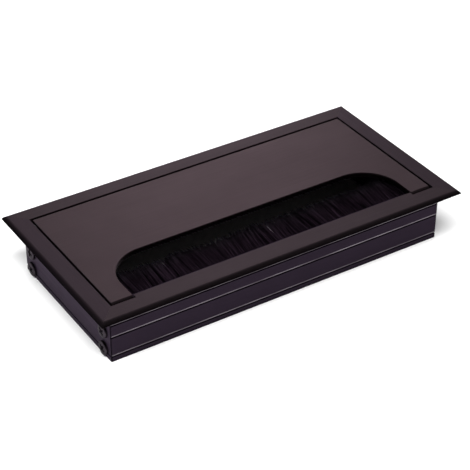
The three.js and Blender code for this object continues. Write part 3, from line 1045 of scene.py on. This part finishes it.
def add_bristle(vertices, faces, root, middle, tip, radius):
    """A thin tapered tube along the curve from root past middle to tip."""
    base = len(vertices)
    taper = 0.35
    tip_taper = 0.45
    tip_share = 0.2
    first_angle = 0.5
    for ring in range(BRISTLE_RINGS):
        t = ring / (BRISTLE_RINGS - 1)
        point = root * (1 - t) ** 2 + middle * (2 * t * (1 - t)) + tip * t**2
        past = max(0, t - (1 - tip_share)) / tip_share
        width = radius * (1 - taper * t - tip_taper * past)
        for k in range(BRISTLE_SIDES):
            angle = 2 * math.pi * k / BRISTLE_SIDES + first_angle
            vertices.append(
                (point.x + width * math.cos(angle), point.y, point.z + width * math.sin(angle))
            )
    for ring in range(BRISTLE_RINGS - 1):
        for k in range(BRISTLE_SIDES):
            a = base + ring * BRISTLE_SIDES + k
            b = base + ring * BRISTLE_SIDES + (k + 1) % BRISTLE_SIDES
            faces.append((a, a + BRISTLE_SIDES, b + BRISTLE_SIDES, b))
    last = base + (BRISTLE_RINGS - 1) * BRISTLE_SIDES
    faces.append(tuple(last + k for k in reversed(range(BRISTLE_SIDES))))
    faces.append(tuple(base + k for k in range(BRISTLE_SIDES)))


def bristles(look):
    """Thousands of separate bristles, in groups side by side along the channel. They lean one
    way or the other from region to region, and gather in clumps at their tips."""
    generator = random.Random(5)
    end_gap = 0.3 * MM
    start, end = bristle_low.x + end_gap, bristle_high.x - end_gap
    length = end - start
    region = uneven(generator, length, REGION_WIDTH, REGION_AMOUNTS)
    clump = uneven(generator, length, CLUMP_WIDTH, CLUMP_AMOUNTS)
    roots_past_wire = 0.9 * MM
    root_y = (wire_low.y + wire_high.y) / 2 + roots_past_wire
    mouth_half = 0.9 * MM
    tip_y = bristle_high.y - 0.4 * MM
    tip_z = (bristle_high.z + SLOT_Z) / 2 + 0.1 * MM
    tip_half = 1.1 * MM
    highest = bristle_high.z - 0.1 * MM
    upright_at_ends = 3 * MM
    sag = 0.15 * MM
    bend = 0.35
    lean_spread = 0.3
    reach_spread = 0.9
    lift_spread = 0.15
    thinnest, thickest = 0.75, 1.2
    groups = [([], []) for _ in range(BRISTLE_GROUPS)]
    for _ in range(BRISTLES):
        place_at = length * generator.random()
        x = start + place_at
        height = generator.uniform(-1, 1)
        wide, narrow = region(place_at), clump(place_at)
        lean, lift, reach = (a + b for a, b in zip(wide, narrow))
        edge = min(place_at, length - place_at)
        lean *= min(1, edge / upright_at_ends)
        root = Vector((x, root_y, SLOT_Z + height * mouth_half))
        tip = Vector(
            (
                x + lean + generator.gauss(0, lean_spread) * MM,
                tip_y + reach - abs(generator.gauss(0, reach_spread)) * MM,
                tip_z + height * tip_half + lift + generator.gauss(0, lift_spread) * MM,
            )
        )
        tip.x = max(start, min(end, tip.x))
        tip.y = min(tip.y, bristle_high.y)
        tip.z = min(tip.z, highest)
        middle = (root + tip) / 2
        middle.x = x + (tip.x - x) * bend
        middle.z -= sag
        group = groups[min(BRISTLE_GROUPS - 1, int(place_at / length * BRISTLE_GROUPS))]
        radius = BRISTLE_RADIUS * generator.uniform(thinnest, thickest)
        add_bristle(*group, root, middle, tip, radius)
    for index, (vertices, faces) in enumerate(groups):
        data = bpy.data.meshes.new("bristles")
        data.from_pydata(vertices, [], faces)
        piece = new_object(f"bristles_{index + 1}", data)
        data.polygons.foreach_set("use_smooth", [True] * len(data.polygons))
        finish_piece(piece, "frame", ["brush_bristles"], look)


# ---------------------------------------------------------------- stage, lights and camera

# Camera: where it stands round the middle of the frame's top, in degrees and metres.
CAMERA_AZIMUTH = -32.868
CAMERA_ELEVATION = 34.743
CAMERA_ROLL = 0.344
CAMERA_DISTANCE = 0.59422
CAMERA_PAN = (0.000257, -0.012358)
CAMERA_LENS = 117.94
SENSOR_WIDTH = 36
CLIP_START = 0.01

# Lights: azimuth and elevation in degrees, distance, width and height in metres, power in
# watts, and whether the light is mirrored in the object.
LIGHTS = [
    ("overhead", -20, 66, 0.9, 0.45, 0.45, 11, False),
    ("key", -70, 58, 0.9, 0.35, 0.35, 6.5, False),
    ("rear", 150, 22, 1.2, 0.35, 0.3, 2.4, True),
]

# The studio is bright towards one direction, in degrees, and dark everywhere else. The light
# starts where the cosine of the angle to that direction passes STUDIO_START.
STUDIO_BRIGHT_AZIMUTH = 149
STUDIO_BRIGHT_ELEVATION = 30
STUDIO_BRIGHT = 0.9
STUDIO_DARK = 0.09
STUDIO_START = 0.6

FLOOR_HALF = 3
FLOOR_THICKNESS = 0.02


def direction(azimuth, elevation):
    """The unit vector from the object towards that azimuth and elevation; azimuth 0 is -Y."""
    a, e = math.radians(azimuth), math.radians(elevation)
    return Vector((math.sin(a) * math.cos(e), -math.cos(a) * math.cos(e), math.sin(e)))


def camera():
    """The camera that the picture is taken with."""
    back = direction(CAMERA_AZIMUTH, CAMERA_ELEVATION)
    right = (-back).cross(Vector((0, 0, 1))).normalized()
    up = right.cross(-back)
    target = Vector((0, 0, TOP))
    place_at = target + back * CAMERA_DISTANCE + right * CAMERA_PAN[0] + up * CAMERA_PAN[1]
    roll = Matrix.Rotation(math.radians(CAMERA_ROLL), 3, back)
    axes = Matrix((roll @ right, roll @ up, back)).transposed()
    data = bpy.data.cameras.new("camera")
    data.lens = CAMERA_LENS
    data.sensor_width = SENSOR_WIDTH
    data.clip_start = CLIP_START
    made = new_object("camera", data)
    made.matrix_world = Matrix.Translation(place_at) @ axes.to_4x4()
    bpy.context.scene.camera = made


def softbox(name, azimuth, elevation, distance, width, height, power, mirrored):
    """A rectangular area light that faces the object, and is mirrored in it or not."""
    data = bpy.data.lights.new(name, "AREA")
    data.shape = "RECTANGLE"
    data.size = width
    data.size_y = height
    data.energy = power
    made = new_object(name, data)
    towards = direction(azimuth, elevation)
    made.location = Vector((0, 0, TOP / 2)) + towards * distance
    made.rotation_mode = "QUATERNION"
    made.rotation_quaternion = towards.to_track_quat("Z", "Y")
    made.visible_glossy = mirrored


def studio_world():
    """A studio that is bright behind the object and dark in front of it."""
    world = bpy.data.worlds.new("studio")
    world.use_nodes = True
    tree = world.node_tree
    coordinates = tree.nodes.new("ShaderNodeTexCoord")
    facing = tree.nodes.new("ShaderNodeVectorMath")
    facing.operation = "DOT_PRODUCT"
    facing.inputs[1].default_value = direction(STUDIO_BRIGHT_AZIMUTH, STUDIO_BRIGHT_ELEVATION)
    level = tree.nodes.new("ShaderNodeMapRange")
    level.interpolation_type = "SMOOTHSTEP"
    level.inputs["From Min"].default_value = STUDIO_START
    level.inputs["From Max"].default_value = 1.0
    level.inputs["To Min"].default_value = STUDIO_DARK
    level.inputs["To Max"].default_value = STUDIO_BRIGHT
    background = tree.nodes["Background"]
    background.inputs["Color"].default_value = (1, 1, 1, 1)
    tree.links.new(coordinates.outputs["Generated"], facing.inputs[0])
    tree.links.new(facing.outputs["Value"], level.inputs["Value"])
    tree.links.new(level.outputs["Result"], background.inputs["Strength"])
    bpy.context.scene.world = world


def stage():
    """The floor, the studio round it and three soft lights."""
    look = Look("floor_white", grey(0.82), 0.9, specular=0.1)
    look.colour(look.ramp(look.noise(0.05, detail=2), grey(0.815), grey(0.825)))
    corners = [(x * FLOOR_HALF, y * FLOOR_HALF) for x, y in ((-1, -1), (1, -1), (1, 1), (-1, 1))]
    floor = prism("floor", corners, -FLOOR_THICKNESS, 0)
    floor.data.materials.append(look.material)
    studio_world()
    for light in LIGHTS:
        softbox(*light)
    bpy.context.scene.view_settings.view_transform = "Standard"


# ---------------------------------------------------------------- build

camera()
stage()

# The long and end rails are one anodised aluminium; their copies differ in painted light, the end
# rails' walls lighter and tops darker as the light falls.
long_finish = anodised(
    "anodised_long_rails",
    top=(0.042, 0.031, 0.036),
    wall=(0.019, 0.0132, 0.0212),
    highlight_grooves=LONG_RAIL_GROOVES,
    edge=0.12,
    joint=LENGTH / 2 - WALL_OUTER,
)
end_finish = anodised(
    "anodised_end_rails",
    top=(0.038, 0.0275, 0.034),
    wall=(0.042, 0.030, 0.047),
    edge=0.12,
    joint=DEPTH / 2 - WALL_OUTER,
)
# Painted shade: the lid's edge faces below its top get a near-black colour, for the shade in the
# gap round the lid.
lid_finish = anodised(
    "anodised_lid",
    top=(0.052, 0.037, 0.042),
    wall=(0.014, 0.009, 0.010),
    turn=TOP - 0.4 * MM,
)
front_rail(long_finish)
rear_rail(long_finish)
lid(lid_finish)

pin_finish = plated_steel("zinc_plated_pin", (0.45, 0.45, 0.46), 0.3)
bush_finish = nylon("black_nylon_bush", (0.02, 0.02, 0.022), 0.5)
stop_finish = nylon("black_rubber_stop", (0.012, 0.012, 0.012), 0.8)
for end in (-1, 1):
    end_rail(end, end_finish)
    hinge_pin(end, pin_finish)
    hinge_bush(end, bush_finish)
    lid_stop(end, stop_finish)
screw_finish = plated_steel(
    "black_zinc_screw", (0.044, 0.036, 0.044), 0.3, specular=0.1, edge_tint=0.5
)
corner_screws(screw_finish)

strip_finish = plated_steel("galvanised_strip", (0.40, 0.41, 0.42), 0.4)
brush_channel(strip_finish)
core_wire(strip_finish)
bristle_finish = bristle_nylon(
    "black_bristle",
    dark=(0.0008, 0.0005, 0.0008),
    light=(0.0135, 0.0083, 0.0133),
    tip=(0.012, 0.0105, 0.013),
)
bristles(bristle_finish)
